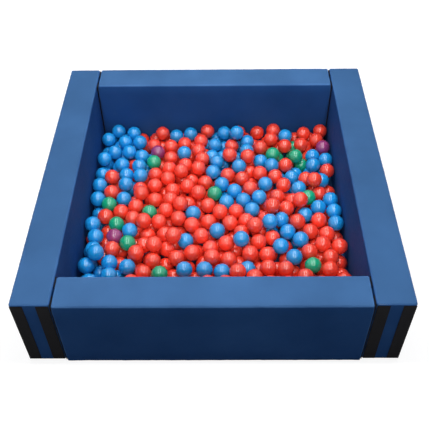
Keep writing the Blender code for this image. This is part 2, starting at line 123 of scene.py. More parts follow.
# %% [markdown]
# ## Colours and shader nodes
#
# Colours are written as the familiar sRGB hex values, and Blender's shaders take linear light, so one
# function turns one into the other. Another adds a node with its settings and links, which keeps each
# material's recipe short enough to read as a list.


# %% Helpers for materials
def linear(hex_colour):
    """sRGB to linear: divide by 12.92 in the darkest part, else a power of 2.4 of (c + 0.055) / 1.055."""
    c = np.array([int(hex_colour[k:k + 2], 16) for k in (1, 3, 5)]) / 255
    c = np.where(c <= 0.04045, c / 12.92, ((c + 0.055) / 1.055) ** 2.4)
    return (*c.tolist(), 1.0)


def add(tree, kind, inputs=(), **settings):
    """Add one node. inputs are in the order of its sockets, or pair a socket's name or number with each.
    An input is a value, another node's output, or another node, whose first output is then meant."""
    node = tree.nodes.new(kind)
    for key, value in settings.items():
        setattr(node, key, value)
    for socket, value in inputs.items() if isinstance(inputs, dict) else enumerate(inputs):
        if isinstance(value, bpy.types.Node):
            value = value.outputs[0]
        if isinstance(value, bpy.types.NodeSocket):
            tree.links.new(value, node.inputs[socket])
        else:
            node.inputs[socket].default_value = value
    return node


def new_material(name):
    """A material with an empty node tree, and that tree."""
    made = bpy.data.materials.new(name)
    made.use_nodes = True
    made.node_tree.nodes.clear()
    return made, made.node_tree


# %% [markdown]
# ## Floor and background
#
# The picture is a cut-out on white. A white floor that is lit until it clips would also flood the pit's
# sides with light, so the floor is plain grey to the light that bounces off it, and white to the camera
# and to reflections. Part of that white is still lit, so the pit keeps its soft shadow. Close to the pit
# a reflection finds the shaded grey floor instead of the white, because that is what keeps the upright
# sides a deep navy. The sky is done alike: white to the camera, and dim and even as a light.

# %% Floor and sky
FLOOR_SIZE = 60.0
FLOOR_DROP = 0.0006
FLOOR_GREY = "#9C9C9C"
FLOOR_GLOW = 0.89
FLOOR_LIT = 0.22
SHADED_FLOOR_REACH = 1.1
WHITE_FLOOR_REACH = 2.4
SKY_COLOUR = "#EDF2FF"
SKY_STRENGTH = 0.15
WHITE = (1.0, 1.0, 1.0, 1.0)


def seen_directly(tree, mirrored=1.0):
    """1 for rays from the camera or a transmission, mirrored for those from a reflection, and 0 for light
    that bounces."""
    path = add(tree, "ShaderNodeLightPath").outputs
    glossy = add(tree, "ShaderNodeMath", (path["Is Glossy Ray"], mirrored), operation="MULTIPLY")
    seen = add(tree, "ShaderNodeMath", (path["Is Camera Ray"], glossy), operation="MAXIMUM")
    return add(tree, "ShaderNodeMath", (seen, path["Is Transmission Ray"]), operation="MAXIMUM")


floor_paint, tree = new_material("matt_white_floor")
place = add(tree, "ShaderNodeTexCoord").outputs["Object"]
away = add(tree, "ShaderNodeVectorMath", (place,), operation="LENGTH").outputs["Value"]
far = add(tree, "ShaderNodeMapRange", (away, SHADED_FLOOR_REACH, WHITE_FLOOR_REACH))
bounced = add(tree, "ShaderNodeBsdfDiffuse", {"Color": linear(FLOOR_GREY)})
lit = add(tree, "ShaderNodeBsdfDiffuse", {"Color": (FLOOR_LIT, FLOOR_LIT, FLOOR_LIT, 1.0)})
strength = add(tree, "ShaderNodeMapRange", (far, 0.0, 1.0, FLOOR_GLOW, 1.0))
glow = add(tree, "ShaderNodeEmission", (WHITE, strength))
white = add(tree, "ShaderNodeAddShader", (lit, glow))
floor_mix = add(tree, "ShaderNodeMixShader", (seen_directly(tree, far), bounced, white))
add(tree, "ShaderNodeOutputMaterial", (floor_mix,))

half = FLOOR_SIZE / 2
floor_mesh = bpy.data.meshes.new("floor")
floor_mesh.from_pydata([(-half, -half, -FLOOR_DROP), (half, -half, -FLOOR_DROP),
                        (half, half, -FLOOR_DROP), (-half, half, -FLOOR_DROP)], [], [(0, 1, 2, 3)])
floor_mesh.materials.append(floor_paint)
floor = bpy.data.objects.new("floor", floor_mesh)
bpy.context.scene.collection.objects.link(floor)
floor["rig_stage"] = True

world = bpy.data.worlds.new("studio_sky")
bpy.context.scene.world = world
world.use_nodes = True
tree = world.node_tree
tree.nodes.clear()
dim = add(tree, "ShaderNodeBackground", (linear(SKY_COLOUR), SKY_STRENGTH))
bright = add(tree, "ShaderNodeBackground", (WHITE, 1.0))
sky = add(tree, "ShaderNodeMixShader", (seen_directly(tree), dim, bright))
add(tree, "ShaderNodeOutputWorld", (sky,))
print("floor", FLOOR_SIZE, "m wide; sky strength", SKY_STRENGTH)

# %% [markdown]
# ## Lamps
#
# The balls show two upright bright strokes each. On a ball, that is the mirror image of two long lamps
# that hang side by side high above the pit. Two plainer soft boxes, which no surface mirrors, even the
# light out between front and back.

# %% Lamps
STRIP_X, STRIP_Y, STRIP_Z = 1.10, -1.10, 4.5
STRIP_SIZE, STRIP_RADIANCE = (0.42, 12.0), 9.4
FRONT_KEY_PLACE, FRONT_KEY_AIM = (0.0, -3.4, 2.9), (0.0, 0.5, 0.3)
FRONT_KEY_SIZE, FRONT_KEY_RADIANCE = (1.4, 1.2), 7.5
BACK_KEY_PLACE, BACK_KEY_AIM = (0.0, 1.4, 3.4), (0.0, 1.3, 0.0)
BACK_KEY_SIZE, BACK_KEY_RADIANCE = (1.4, 1.4), 6.2


def lamp(name, place, aim, size, radiance):
    """A rectangular soft box. Its power in watts is radiance times area times pi."""
    data = bpy.data.lights.new(name, "AREA")
    data.shape = "RECTANGLE"
    data.size, data.size_y = size
    data.energy = radiance * size[0] * size[1] * math.pi
    made = bpy.data.objects.new(name, data)
    made.location = place
    direction = np.array(aim, float) - np.array(place, float)
    pitch = math.atan2(math.hypot(direction[0], direction[1]), -direction[2])
    turn = math.atan2(-direction[0], direction[1])
    made.rotation_euler = (pitch, 0, turn)
    made.visible_camera = False
    bpy.context.scene.collection.objects.link(made)
    print(f"lamp {name}: {size[0]} x {size[1]} m, radiance {radiance}")
    return made


for side, name in ((-1, "left_strip_lamp"), (1, "right_strip_lamp")):
    place = (side * STRIP_X, STRIP_Y, STRIP_Z)
    lamp(name, place, (side * STRIP_X, STRIP_Y, 0.0), STRIP_SIZE, STRIP_RADIANCE)
front_key = lamp("front_key", FRONT_KEY_PLACE, FRONT_KEY_AIM, FRONT_KEY_SIZE, FRONT_KEY_RADIANCE)
back_key = lamp("back_key", BACK_KEY_PLACE, BACK_KEY_AIM, BACK_KEY_SIZE, BACK_KEY_RADIANCE)
front_key.visible_glossy = back_key.visible_glossy = False

# %% [markdown]
# A flag is a dark card that keeps lamps off one place. This one stands upright in front of the pit. No
# camera or mirror sees it, and all it does is cast a shadow on the front face, which is the darkest one.

# %% Flag
FLAG_HALF_WIDTH, FLAG_Y = 1.6, -0.775
FLAG_FOOT, FLAG_TOP = 0.01, 0.405

flag_mesh = bpy.data.meshes.new("flag")
flag_mesh.from_pydata([(-FLAG_HALF_WIDTH, FLAG_Y, FLAG_FOOT), (FLAG_HALF_WIDTH, FLAG_Y, FLAG_FOOT),
                       (FLAG_HALF_WIDTH, FLAG_Y, FLAG_TOP), (-FLAG_HALF_WIDTH, FLAG_Y, FLAG_TOP)],
                      [], [(0, 1, 2, 3)])
flag = bpy.data.objects.new("flag", flag_mesh)
flag.visible_camera = flag.visible_diffuse = flag.visible_glossy = flag.visible_transmission = False
bpy.context.scene.collection.objects.link(flag)
flag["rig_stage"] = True
print("flag top", FLAG_TOP, "m")

# %% [markdown]
# ## Materials
#
# The covers are PVC-coated polyester, the tough vinyl of gym mats. It comes off an embossing roller with
# a leather grain of about a millimetre, nearly matt, and it scatters light from tiny creases where it is
# pulled tight. The grain is bump, because it is finer than any mesh could hold. What looks up is painted
# a paler blue, a painted sheen in place of the lights' reflection, so the tops of the walls are paler than
# their sides. The seams are painted a paler line, partly rubbed wear and partly painted highlight.
#
# A pattern's scale is 1000 over a real size in millimetres, because places are in metres. A noise keeps
# mostly to the middle of its range, so a Map Range node stretches that band to the values wanted. A Mix
# node has sockets for every type of data: for colours they are 0, the share, and 6 and 7, the two
# colours, and the result comes out at 2.

# %% Vinyl
VINYL_BLUE = "#16427E"
# A paler blue for faces that look up: a painted sheen in place of the lights' reflection.
VINYL_BLUE_PAINTED_SHEEN = "#365984"
# A paler blue for the seam line: rubbed wear, and a painted highlight along the rims.
VINYL_BLUE_WORN_AND_HIGHLIGHT = "#5583BC"
VINYL_MIRROR_TINT = "#CCFFE1"
VINYL_ROUGHNESS = (0.64, 0.76)
NOISE_BAND = (0.3, 0.7)
CLOUD_MM = 260.0
CLOUD_TONES = (0.93, 1.07)
WEAR_AND_HIGHLIGHT_SHARES = (0.1, 0.7)
CREASE_MM, CREASE_DEPTH = 14.0, 0.0005
GRAIN_MM, GRAIN_DEPTH = 1.2, 0.00012


def make_vinyl():
    """Embossed PVC vinyl: leather grain, faint creases, a cloudy tone, a painted sheen that pales what
    looks up, and a paler line at the seams that is partly rubbed wear and partly painted highlight."""
    made, tree = new_material("embossed_pvc_vinyl_blue")
    place = add(tree, "ShaderNodeTexCoord").outputs["Object"]
    cloud = add(tree, "ShaderNodeTexNoise", {"Vector": place, "Scale": 1000 / CLOUD_MM, "Detail": 3.0})
    # Painted sheen: what looks up is mixed towards the paler blue.
    painted_top_sheen = add(tree, "ShaderNodeAttribute", attribute_name="painted_top_sheen").outputs["Fac"]
    skin = add(tree, "ShaderNodeMix", {0: painted_top_sheen, 6: linear(VINYL_BLUE), 7: linear(VINYL_BLUE_PAINTED_SHEEN)},
               data_type="RGBA").outputs[2]
    # The paler line at the seams is partly rubbed wear and partly painted highlight.
    seam = add(tree, "ShaderNodeAttribute", attribute_name="seam").outputs["Fac"]
    rubbed = add(tree, "ShaderNodeMapRange", (cloud, 0.0, 1.0, *WEAR_AND_HIGHLIGHT_SHARES))
    wear_and_highlight = add(tree, "ShaderNodeMath", (seam, rubbed), operation="MULTIPLY")
    worn_and_highlit = add(tree, "ShaderNodeMix", {0: wear_and_highlight, 6: skin, 7: linear(VINYL_BLUE_WORN_AND_HIGHLIGHT)},
               data_type="RGBA").outputs[2]
    tone = add(tree, "ShaderNodeMapRange", (cloud, *NOISE_BAND, *CLOUD_TONES))
    shade = add(tree, "ShaderNodeHueSaturation", {"Color": worn_and_highlit, "Value": tone})
    crease = add(tree, "ShaderNodeTexNoise", {"Vector": place, "Scale": 1000 / CREASE_MM, "Detail": 4.0})
    rough = add(tree, "ShaderNodeMapRange", (crease, *NOISE_BAND, *VINYL_ROUGHNESS))
    grain = add(tree, "ShaderNodeTexVoronoi", {"Vector": place, "Scale": 1000 / GRAIN_MM})
    soft = add(tree, "ShaderNodeBump", {"Height": crease, "Distance": CREASE_DEPTH, "Strength": 0.35})
    fine = add(tree, "ShaderNodeBump",
               {"Height": grain, "Distance": GRAIN_DEPTH, "Strength": 0.5, "Normal": soft})
    shader = add(tree, "ShaderNodeBsdfPrincipled", {
        "Base Color": shade, "Roughness": rough, "Normal": fine, "IOR": 1.53,
        "Specular IOR Level": 0.06, "Specular Tint": linear(VINYL_MIRROR_TINT)})
    add(tree, "ShaderNodeOutputMaterial", (shader,))
    return made


vinyl = make_vinyl()
print("vinyl:", VINYL_BLUE, "grain", GRAIN_MM, "mm")

# %% [markdown]
# Inside the covers is open-cell polyurethane foam, cut with a hot wire: dull, cream-coloured and pitted.
# It never shows, but the pieces are real ones, so they get their finish as well.

# %% Foam
FOAM_SHADE, FOAM_LIGHT = "#C9BE9A", "#EFE8CE"
FOAM_CELL_MM, FOAM_CELL_DEPTH = 2.0, 0.0008


def make_foam():
    """Cut polyurethane foam: open cells, no shine."""
    made, tree = new_material("cut_polyurethane_foam")
    place = add(tree, "ShaderNodeTexCoord").outputs["Object"]
    cells = add(tree, "ShaderNodeTexVoronoi", {"Vector": place, "Scale": 1000 / FOAM_CELL_MM})
    tone = add(tree, "ShaderNodeMix", {0: cells, 6: linear(FOAM_SHADE), 7: linear(FOAM_LIGHT)},
               data_type="RGBA").outputs[2]
    pits = add(tree, "ShaderNodeBump", {"Height": cells, "Distance": FOAM_CELL_DEPTH, "Strength": 0.6})
    shader = add(tree, "ShaderNodeBsdfPrincipled", {"Base Color": tone, "Normal": pits, "Roughness": 0.95})
    add(tree, "ShaderNodeOutputMaterial", (shader,))
    return made


foam = make_foam()
print("foam cells", FOAM_CELL_MM, "mm")

# %% [markdown]
# Hook-and-loop tape is woven nylon. One side carries rows of stiff hooks and the other a mat of fine
# loops. Both are black here and swallow light: what shows is a dull nap with a faint sheen. The rows of
# hooks are drawn at 3 mm, twice their real pitch, because finer ones would melt into grey.

# %% Hook-and-loop tape
HOOK_PITCH_MM = 3.0
LOOP_MM = 1.1
NAP_DEPTH = 0.0006
NAP_SHADE, NAP_LIGHT = "#0B0B0D", "#1C1B20"


def make_tape(name, kind, pattern):
    """Black nylon tape. The kind of texture and its pattern's inputs give the height of hooks or loops."""
    made, tree = new_material(name)
    place = add(tree, "ShaderNodeTexCoord").outputs["Object"]
    nap = add(tree, kind, {"Vector": place, **pattern})
    tone = add(tree, "ShaderNodeMix", {0: nap.outputs[0], 6: linear(NAP_SHADE), 7: linear(NAP_LIGHT)},
               data_type="RGBA").outputs[2]
    pile = add(tree, "ShaderNodeBump", {"Height": nap, "Distance": NAP_DEPTH, "Strength": 0.7})
    shader = add(tree, "ShaderNodeBsdfPrincipled", {
        "Base Color": tone, "Normal": pile, "Roughness": 0.85,
        "Specular IOR Level": 0.15, "Sheen Weight": 0.04})
    add(tree, "ShaderNodeOutputMaterial", (shader,))
    return made


hook_tape = make_tape("woven_nylon_hook_tape_black", "ShaderNodeTexVoronoi",
                      {"Scale": 1000 / HOOK_PITCH_MM})
loop_tape = make_tape("woven_nylon_loop_tape_black", "ShaderNodeTexNoise",
                      {"Scale": 1000 / LOOP_MM, "Detail": 3.0})
print("tape: hooks", HOOK_PITCH_MM, "mm, loops", LOOP_MM, "mm")

# %% [markdown]
# The zip's tape is twilled polyester, dyed navy, and its teeth are the same colour. The twill's slanting
# ribs are drawn twice as coarse as real, so that they show. The slider is cast in zinc and nickel plated,
# so it is a metal with a faint orange-peel skin and rubbed duller in places.

# %% Zip tape and slider metal
TWILL_MM, TWILL_DEPTH = 1.4, 0.0002
TWILL_SHADE, TWILL_LIGHT = "#0E1426", "#1B2747"
CAST_SKIN_MM, CAST_SKIN_DEPTH = 2.5, 0.00008
NICKEL_SHADE, NICKEL_LIGHT = "#A9A69F", "#CFCCC4"
NICKEL_ROUGHNESS = (0.24, 0.42)


def make_zip_tape():
    """Twilled polyester with slanting ribs."""
    made, tree = new_material("twilled_polyester_zip_tape_navy")
    place = add(tree, "ShaderNodeTexCoord").outputs["Object"]
    twill = add(tree, "ShaderNodeTexWave",
                {"Vector": place, "Scale": 1000 / TWILL_MM / math.tau, "Distortion": 0.6},
                bands_direction="DIAGONAL").outputs["Fac"]
    tone = add(tree, "ShaderNodeMix", {0: twill, 6: linear(TWILL_SHADE), 7: linear(TWILL_LIGHT)},
               data_type="RGBA").outputs[2]
    ribs = add(tree, "ShaderNodeBump", {"Height": twill, "Distance": TWILL_DEPTH, "Strength": 0.6})
    shader = add(tree, "ShaderNodeBsdfPrincipled",
                 {"Base Color": tone, "Normal": ribs, "Roughness": 0.62, "IOR": 1.57})
    add(tree, "ShaderNodeOutputMaterial", (shader,))
    return made


def make_slider_metal():
    """Nickel plate on cast zinc: default IOR, metallic, rubbed rougher where the noise is high."""
    made, tree = new_material("nickel_plated_cast_zinc")
    place = add(tree, "ShaderNodeTexCoord").outputs["Object"]
    skin = add(tree, "ShaderNodeTexNoise", {"Vector": place, "Scale": 1000 / CAST_SKIN_MM, "Detail": 3.0})
    tone = add(tree, "ShaderNodeMix", {0: skin, 6: linear(NICKEL_SHADE), 7: linear(NICKEL_LIGHT)},
               data_type="RGBA").outputs[2]
    rough = add(tree, "ShaderNodeMapRange", (skin, 0.0, 1.0, *NICKEL_ROUGHNESS))
    peel = add(tree, "ShaderNodeBump", {"Height": skin, "Distance": CAST_SKIN_DEPTH, "Strength": 0.5})
    shader = add(tree, "ShaderNodeBsdfPrincipled",
                 {"Base Color": tone, "Roughness": rough, "Normal": peel, "Metallic": 1.0})
    add(tree, "ShaderNodeOutputMaterial", (shader,))
    return made


zip_tape, slider_metal = make_zip_tape(), make_slider_metal()
print("zip: twill", TWILL_MM, "mm, cast skin", CAST_SKIN_MM, "mm")

# %% [markdown]
# The balls are blow-moulded polyethylene shells about a millimetre thick. The plastic is coloured right
# through and a little translucent, with a waxy gloss that is scuffed by the other balls. Each ball has a
# fine moulding seam round it and a small mark at each pole where the air went in. The seam is laid out in
# each ball's own turned frame, which the mesh carries as an attribute, so no two balls show it alike.

# %% Ball plastic
BALL_COLOURS = {"red": "#F64530", "blue": "#1D97DF", "green": "#15A77A", "purple": "#943B73"}
BALL_TONES = (0.92, 1.06)
BALL_ROUGHNESS = (0.06, 0.10)
SCUFF_BAND, SCUFFS_PER_RADIUS = (0.35, 0.70), 5.0
SEAM_HALF_WIDTH, SEAM_HEIGHT = 0.018, 0.00025
POLE_MARK_RADIUS = 0.10


def make_ball_plastic(colour):
    """Blow-moulded polyethylene: waxy gloss, light scuffs, a raised moulding seam and sunk pole marks. At a
    small angle a from a pole, the height over the seam's plane is 1 - a * a / 2."""
    made, tree = new_material(f"blow_moulded_polyethylene_{colour}")
    carried = add(tree, "ShaderNodeAttribute", attribute_name="ball_place").outputs["Vector"]
    inside = add(tree, "ShaderNodeVectorMath", (carried,), operation="NORMALIZE")
    parts = add(tree, "ShaderNodeSeparateXYZ", (inside,))
    height = add(tree, "ShaderNodeMath", (parts.outputs["Z"],), operation="ABSOLUTE")
    mark = 1 - POLE_MARK_RADIUS**2 / 2, 1 - POLE_MARK_RADIUS**2 / 4
    seam = add(tree, "ShaderNodeMapRange", (height, 0.0, SEAM_HALF_WIDTH, 1.0, 0.0))
    pole = add(tree, "ShaderNodeMapRange", (height, *mark, 0.0, 1.0))
    relief = add(tree, "ShaderNodeMath", (seam, pole), operation="SUBTRACT")
    ridge = add(tree, "ShaderNodeBump", {"Height": relief, "Distance": SEAM_HEIGHT, "Strength": 0.8})
    scuff = add(tree, "ShaderNodeTexNoise", {"Vector": inside, "Scale": SCUFFS_PER_RADIUS, "Detail": 6.0})
    rough = add(tree, "ShaderNodeMapRange", (scuff, *SCUFF_BAND, *BALL_ROUGHNESS))
    chance = add(tree, "ShaderNodeAttribute", attribute_name="ball_chance").outputs["Fac"]
    tone = add(tree, "ShaderNodeMapRange", (chance, 0.0, 1.0, *BALL_TONES))
    shade = add(tree, "ShaderNodeHueSaturation", {"Color": linear(BALL_COLOURS[colour]), "Value": tone})
    shader = add(tree, "ShaderNodeBsdfPrincipled", {
        "Base Color": shade, "Roughness": rough, "Normal": ridge, "IOR": 1.51, "Specular IOR Level": 0.80})
    add(tree, "ShaderNodeOutputMaterial", (shader,))
    return made


plastics = {colour: make_ball_plastic(colour) for colour in BALL_COLOURS}
print("ball plastics:", sorted(plastics))

# %% [markdown]
# ## Soft blocks
#
# A padded section is a foam block in a tight cover. Seen close, it isn't a box: each face is crowned, the
# edges are round, the sewn seam draws a fine line along every edge, and the vinyl gathers in small
# puckers beside the seam. A box with a Bevel modifier gives only the round edge, and a cloth simulation
# of a cover that foam fills tightly moves by a millimetre or two at most. So the skin is worked out: the
# six sides of a box as grids of points, with closer lines at the edges, and every effect is a formula
# that moves all the points at once.


# %% The skin of a box
def side_lines(low, high, radius, cell, arc=4, extra=()):
    """Grid lines along one side: at tan(angle) steps over each rounding, so that a quarter circle has
    2 * arc equal steps, evenly between, and any extra ones."""
    step = np.tan(np.linspace(0, math.pi / 4, arc + 1))
    middle = np.linspace(low + radius, high - radius, max(2, round((high - low - 2 * radius) / cell)) + 1)
    lines = np.concatenate([low + radius * (1 - step), middle, high - radius * (1 - step), extra])
    return np.unique(lines.round(7))


def box_skin(lines):
    """The six sides of a box as grids, each a function of two parameters, with shared edges merged.

    Returns the points and the quads, which face outwards."""
    points, quads, start = [], [], 0
    for axis in range(3):
        u, v = (axis + 1) % 3, (axis + 2) % 3
        for end in (0, -1):
            grid = np.empty((len(lines[u]), len(lines[v]), 3))
            grid[..., axis] = lines[axis][end]
            grid[..., u] = lines[u][:, None]
            grid[..., v] = lines[v][None, :]
            index = start + np.arange(grid[..., 0].size).reshape(grid.shape[:2])
            ring = [index[:-1, :-1], index[1:, :-1], index[1:, 1:], index[:-1, 1:]]
            quad = np.stack(ring if end else ring[::-1], -1).reshape(-1, 4)
            points.append(grid.reshape(-1, 3))
            quads.append(quad)
            start += grid[..., 0].size
    merged, where = np.unique(np.concatenate(points).round(7), axis=0, return_inverse=True)
    return merged, where.reshape(-1)[np.concatenate(quads)]


def round_edges(points, low, high, radius):
    """Each point moves to a fixed distance, the radius, from a smaller box inside. Returns the points and
    the unit vectors that point out of the surface there."""
    core = np.clip(points, low + radius, high - radius)
    outward = points - core
    outward /= np.linalg.norm(outward, axis=1)[:, None]
    return core + radius * outward, outward


def bulge(distance, half_span):
    """1 in the middle, falling as a parabola to 0 at half_span."""
    return np.maximum(0, 1 - (distance / half_span) ** 2)


# %% [markdown]
# Three formulas make the box look sewn and stuffed: a bell curve for the seam, and sums of sines for the
# puckers beside it and for the slow unevenness between. Each moves the skin by a millimetre or two.

# %% Seams, puckers and unevenness
SEAM_DEPTH = 0.0011
SEAM_WIDTH = 0.0018
# The paler seam line, partly wear and partly painted highlight, spreads this far.
WEAR_AND_HIGHLIGHT_WIDTH = 0.0060
PUCKER_HEIGHT = 0.00055
PUCKER_REACH = 0.012
PUCKER_WAVES = (0.031, 0.043, 0.062, 0.097)
UNEVEN_HEIGHT = 0.0006
UNEVEN_WAVES = (0.19, 0.27, 0.41, 0.63)
WAVE_SUM_POWER = 0.75


def seam_nearness(outward, radius, width):
    """1 on the line where two sides meet, falling off as a bell curve of the distance over the rounding."""
    parts = np.sort(np.abs(outward), axis=1)
    angle = np.arctan2(parts[:, 1], parts[:, 2])
    return np.exp(-(((math.pi / 4 - angle) * radius / width) ** 2))


def waves(along, lengths, chance):
    """A sum of sines of the given wavelengths with random phases, divided by a power of their number that
    keeps it between about -1 and 1."""
    phase = chance.uniform(0, math.tau, len(lengths))
    total = np.sin(math.tau * along[:, None] / np.array(lengths) + phase).sum(axis=1)
    return total / len(lengths) ** WAVE_SUM_POWER


def puckers(points, outward, low, high, chance):
    """Small waves that run along each edge, strongest a few millimetres from it, on the side's own normal:
    (d / reach) * exp(1 - d / reach) of the distance d to the edge."""
    moved = np.zeros(len(points))
    away = np.minimum(points - low, high - points).clip(0)
    rise = away / PUCKER_REACH * np.exp(1 - away / PUCKER_REACH)
    facing = np.abs(outward).argmax(axis=1)
    for axis in range(3):
        here = facing == axis
        for along, off in (((axis + 1) % 3, (axis + 2) % 3), ((axis + 2) % 3, (axis + 1) % 3)):
            moved[here] += waves(points[here, along], PUCKER_WAVES, chance) * rise[here, off]
    return moved * PUCKER_HEIGHT


def unevenness(points, chance):
    """Slow waves in three crossing directions, as foam is never quite even under the cover."""
    total = np.zeros(len(points))
    for _ in range(3):
        direction = chance.normal(size=3)
        total += waves(points @ (direction / np.linalg.norm(direction)), UNEVEN_WAVES, chance)
    return total / 3 * UNEVEN_HEIGHT


# %% [markdown]
# A finished skin becomes an object through one function, which also says which body of the solid model
# the piece moves with, found from one of its nodes, and which finish it has.


# %% Make a piece
def make_piece(name, points, quads, material, node, attributes=()):
    """A mesh object at the origin with its place in its mesh, riding with the body of a CAD node."""
    mesh = bpy.data.meshes.new(name)
    mesh.from_pydata(points.tolist(), [], quads.tolist())
    mesh.materials.append(material)
    mesh.shade_smooth()
    for key, kind, values in attributes:
        layer = mesh.attributes.new(key, kind, "POINT")
        layer.data.foreach_set("vector" if kind == "FLOAT_VECTOR" else "value",
                               np.asarray(values, np.float32).ravel())
    made = bpy.data.objects.new(name, mesh)
    bpy.context.scene.collection.objects.link(made)
    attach(made, nodes[node]["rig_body"])
    return made


def turn_about_z(vectors, degrees):
    """Turned about +Z: x cos - y sin, x sin + y cos."""
    c, s = round(math.cos(math.radians(degrees)), 12), round(math.sin(math.radians(degrees)), 12)
    return vectors @ np.array([[c, s, 0], [-s, c, 0], [0, 0, 1]])


# %% [markdown]
# ## Covers and foam
#
# Each wall is worked out lying along X with its inner face towards +Y, and then turned into place. The
# underside has a sunk channel with the zip in it, so the floor never wears the zip.

# %% Covers and foam blocks
EDGE_RADIUS = 0.008
CROWN = 0.003
WALL_END = 0.15
TOP_PULL = 0.009
TOP_PULL_REACH = 0.055
END_PULL = 0.0035
# Painted highlight: the paler seam line is this much stronger on an end wall's upper faces.
PAINTED_RIM_HIGHLIGHT = 1.8
RESTING_SHARE = 0.3
FACES_UP, FACES_DOWN, LIES_FLAT = 0.1, -0.5, -0.99
VINYL_SHEET = 0.001
FOAM_GAP = 0.0005
CELL = 0.016
COVER_SEED = 100
ZIP_END_MARGIN = 0.060
ZIP_CHANNEL_HALF = 0.013
ZIP_CHANNEL_DEPTH = 0.0104
CHANNEL_EDGE = 0.0012

SECTIONS = {
    "left_wall": (-90, "wall"), "right_wall": (90, "wall"),
    "front_wall": (0, "end_wall"), "back_wall": (180, "end_wall"), "floor_mat": (0, "mat"),
}


def section_box(name, kind, turn):
    """Middle, and lowest and highest corner in the section's own directions, without the crowns."""
    low, high = (np.array(v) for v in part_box(name + "_cover"))
    middle = np.array([(low[0] + high[0]) / 2, (low[1] + high[1]) / 2, 0])
    size = high - low
    if turn % 180:
        size = size[[1, 0, 2]]
    if kind != "mat":
        size = size - [0, 2 * CROWN, CROWN]
    low = np.array([-size[0] / 2, -size[1] / 2, 0])
    return middle, low, np.array([size[0] / 2, size[1] / 2, size[2]])


def soft_block(kind, low, high, inset, seed):
    """Points, quads, nearness to a seam and painted sheen of a cover or a foam block, in the section's own
    directions. Towards the top, an end wall's face is pulled in by the square of the nearness to the top.
    The long faces and the top swell by the product of two parabolas, but not where another wall meets
    them. The underside and the mat only keep the hollows of their waves, because they lie on the floor or
    under the balls. The channel for the zip is cut into the underside. The nearness to a seam gives the
    paler seam line of worn vinyl, made stronger on an end wall's upper faces as a painted highlight. The
    painted sheen is the square of how far a face looks up."""
    low, high = low + inset, high - inset
    radius = EDGE_RADIUS - inset
    reach = high[0] + inset - ZIP_END_MARGIN
    edge = np.array([-CHANNEL_EDGE, 0, CHANNEL_EDGE])
    long_extra = np.concatenate([reach + edge, -reach + edge])
    wide_extra = np.concatenate([ZIP_CHANNEL_HALF + edge, -ZIP_CHANNEL_HALF + edge])
    cell = 2 * CELL if inset else CELL
    lines = [side_lines(low[0], high[0], radius, cell, extra=long_extra),
             side_lines(low[1], high[1], radius, cell, extra=wide_extra),
             side_lines(low[2], high[2], radius, cell)]
    flat, quads = box_skin(lines)
    points, outward = round_edges(flat, low, high, radius)
    chance = np.random.default_rng(seed)
    seam = seam_nearness(outward, radius, SEAM_WIDTH)
    if kind == "end_wall":
        near_top = ((points[:, 2] - high[2]) / TOP_PULL_REACH + 1).clip(0) ** 2
        points[:, 1] -= TOP_PULL * near_top * (points[:, 1] / high[1]).clip(0)
        points[:, 0] -= END_PULL * near_top * points[:, 0] / high[0]
    if kind != "mat":
        flat_end = high[0] - WALL_END if kind == "wall" else high[0]
        mid = (low[2] + high[2]) / 2
        swell = bulge(points[:, 0], flat_end) * bulge(points[:, 2] - mid, mid)
        rise = bulge(points[:, 0], high[0]) * bulge(points[:, 1], high[1])
        points[:, 1] += CROWN * swell * outward[:, 1]
        points[:, 2] += CROWN * rise * outward[:, 2].clip(0)
    if not inset:
        shift = puckers(flat, outward, low, high, chance) + unevenness(points, chance)
        resting = (outward[:, 2] < FACES_DOWN) | (kind == "mat")
        shift = np.where(resting, np.minimum(shift, 0) * RESTING_SHARE, shift)
        points += outward * (shift - SEAM_DEPTH * seam)[:, None]
    depth = np.minimum(reach - np.abs(flat[:, 0]), ZIP_CHANNEL_HALF - np.abs(flat[:, 1]))
    channel = (depth / CHANNEL_EDGE).clip(0, 1) * ZIP_CHANNEL_DEPTH
    points[:, 2] += np.where(outward[:, 2] < LIES_FLAT, channel, 0)
    # The paler seam line is partly rubbed wear. On an end wall's upper faces it is made stronger as a
    # painted highlight along the rim.
    wear_and_highlight = seam_nearness(outward, radius, WEAR_AND_HIGHLIGHT_WIDTH)
    if kind == "end_wall":
        wear_and_highlight *= np.where(outward[:, 2] > FACES_UP, PAINTED_RIM_HIGHLIGHT, 1.0)
    # The last value is a painted sheen: the square of how far a face looks up.
    return points, quads, wear_and_highlight, outward[:, 2].clip(0) ** 2


for number, (name, (turn, kind)) in enumerate(SECTIONS.items()):
    middle, low, high = section_box(name, kind, turn)
    # The tops are painted paler, as a painted sheen, through the last of these values.
    points, quads, seam, painted_top_sheen = soft_block(kind, low, high, 0.0, COVER_SEED + number)
    # The seam values paint the paler seam line, partly wear and partly painted highlight.
    cover = make_piece(name + "_vinyl_cover", turn_about_z(points, turn) + middle, quads, vinyl,
                       name + "_cover", [("seam", "FLOAT", seam), ("painted_top_sheen", "FLOAT", painted_top_sheen)])
    wall = cover.modifiers.new("sheet", "SOLIDIFY")
    wall.thickness = VINYL_SHEET
    wall.offset = -1
    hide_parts(name + "_cover")
    points, quads, _, _ = soft_block(kind, low, high, VINYL_SHEET + FOAM_GAP, 0)
    block = make_piece(name + "_foam_block", turn_about_z(points, turn) + middle, quads, foam,
                       name + "_foam")
    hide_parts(name + "_foam")
    print(name, len(cover.data.vertices), "points in the cover,", len(block.data.vertices), "in the foam")

# %% [markdown]
# ## Zips
#
# The foam goes into each cover through a long zip in its underside. A zip is two woven tapes with a row
# of teeth along each, and the two rows mesh. It could be an array of small teeth, hundreds of objects
# deep. Here tape and teeth are one flat skin, and the teeth are a wave of its underside: the two rows run
# half a tooth out of step. They are drawn at 5 mm, twice the real pitch, to show at all. The slider's
# shape in the solid model is right, so it only gets its metal.

